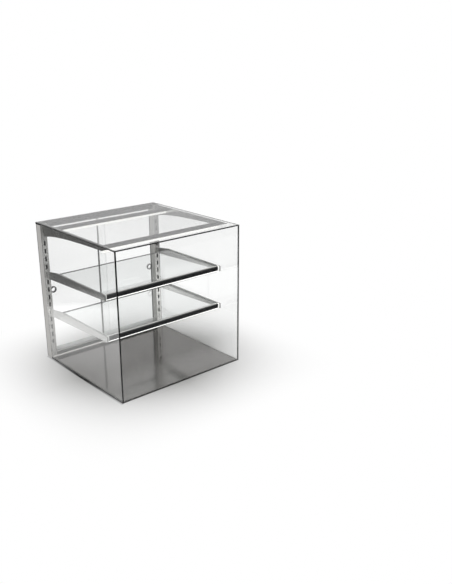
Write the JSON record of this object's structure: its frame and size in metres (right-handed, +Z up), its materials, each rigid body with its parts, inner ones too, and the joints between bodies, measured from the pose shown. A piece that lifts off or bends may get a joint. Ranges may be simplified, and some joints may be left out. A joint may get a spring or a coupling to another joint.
{
  "type": "counter-top display case",
  "caption": "Counter-top glass display case with lit glass shelves hooked into slotted posts, a steel tray as its floor and sliding glass doors at the back.",
  "frame": {"origin": "middle of the footprint, on the counter that the feet stand on", "axes": "+Z up, the front glass faces -Y, +X is to the right when looking at the front glass"},
  "size_m": [0.596, 0.591, 0.6],
  "materials": {
    "clear_glass": "clear float glass with polished edges",
    "door_glass": "clear float glass with ground edges",
    "shelf_glass": "clear float glass with polished edges",
    "polished_steel": "polished stainless steel",
    "pull_steel": "dark metal ring",
    "satin_steel": "satin stainless steel",
    "header_steel": "dark satin steel",
    "bar_aluminium": "dark anodised",
    "tray_steel": "polished stainless steel sheet",
    "bracket_steel": "satin stainless steel plate",
    "arm_steel": "dark satin steel plate",
    "black_rail": "glossy black extrusion",
    "cap_plastic": "glossy white end piece",
    "bar_diffuser": "opal diffuser, lit",
    "rail_diffuser": "opal diffuser, lit",
    "light_strip": "white circuit board with lamps",
    "track_aluminium": "satin anodised",
    "seal": "matt black seal",
    "foot_rubber": "matt black pad",
    "shoe_plastic": "grey runner profile",
    "clear_profile": "clear edge profile",
    "stile_plastic": "grey edge profile",
    "edge_profile": "dark edge profile",
    "black_plastic": "fine texture",
    "rocker_plastic": "smooth black",
    "driver_shell": "white housing",
    "screw_steel": "plated screw"
  },
  "bodies": {
    "case": {"foot_front_left": "foot_rubber", "foot_front_right": "foot_rubber", "foot_rear_left": "foot_rubber", "foot_rear_right": "foot_rubber", "base_tray": "tray_steel", "glass_roof": "clear_glass", "glass_front": "clear_glass", "glass_left": "clear_glass", "glass_right": "clear_glass", "seal_front": "seal", "seal_left": "seal", "seal_right": "seal", "post_left": "polished_steel", "post_right": "polished_steel", "rear_sill": "satin_steel", "header": "header_steel", "door_track_lower": "track_aluminium", "door_track_upper": "track_aluminium", "roof_arm_left": "arm_steel", "roof_arm_right": "arm_steel", "light_bar_front_housing": "bar_aluminium", "light_bar_front_strip": "light_strip", "light_bar_front_diffuser": "bar_diffuser", "light_bar_rear_housing": "bar_aluminium", "light_bar_rear_strip": "light_strip", "light_bar_rear_diffuser": "bar_diffuser", "shelf_upper_glass": "shelf_glass", "shelf_upper_rail": "black_rail", "shelf_upper_strip": "light_strip", "shelf_upper_diffuser": "rail_diffuser", "shelf_upper_rear_edge": "edge_profile", "shelf_upper_bracket_left": "bracket_steel", "shelf_upper_rail_cap_left": "cap_plastic", "shelf_upper_bracket_right": "bracket_steel", "shelf_upper_rail_cap_right": "cap_plastic", "shelf_middle_glass": "shelf_glass", "shelf_middle_rail": "black_rail", "shelf_middle_strip": "light_strip", "shelf_middle_diffuser": "rail_diffuser", "shelf_middle_rear_edge": "edge_profile", "shelf_middle_bracket_left": "bracket_steel", "shelf_middle_rail_cap_left": "cap_plastic", "shelf_middle_bracket_right": "bracket_steel", "shelf_middle_rail_cap_right": "cap_plastic", "driver_screw_left": "screw_steel", "driver_screw_right": "screw_steel", "light_driver": "driver_shell", "switch_body": "black_plastic", "power_inlet": "black_plastic"},
    "door_left": {"door_left_glass": "door_glass", "door_left_pull": "pull_steel", "door_left_shoe": "shoe_plastic", "door_left_stile": "clear_profile"},
    "door_right": {"door_right_glass": "door_glass", "door_right_pull": "pull_steel", "door_right_shoe": "shoe_plastic", "door_right_stile": "stile_plastic"},
    "rocker": {"switch_rocker": "rocker_plastic"}
  },
  "joints": [
    {"name": "door_left_slide", "type": "slide", "parent": "case", "child": "door_left", "axis": [1, 0, 0], "range_m": [0, 0.245]},
    {"name": "door_right_slide", "type": "slide", "parent": "case", "child": "door_right", "axis": [-1, 0, 0], "range_m": [0, 0.245]},
    {"name": "switch_rock", "type": "hinge", "parent": "case", "child": "rocker", "pos_m": [0.15, 0.2898, 0.01325], "axis": [0, 0, 1], "range_deg": [-16, 0]}
  ]
}
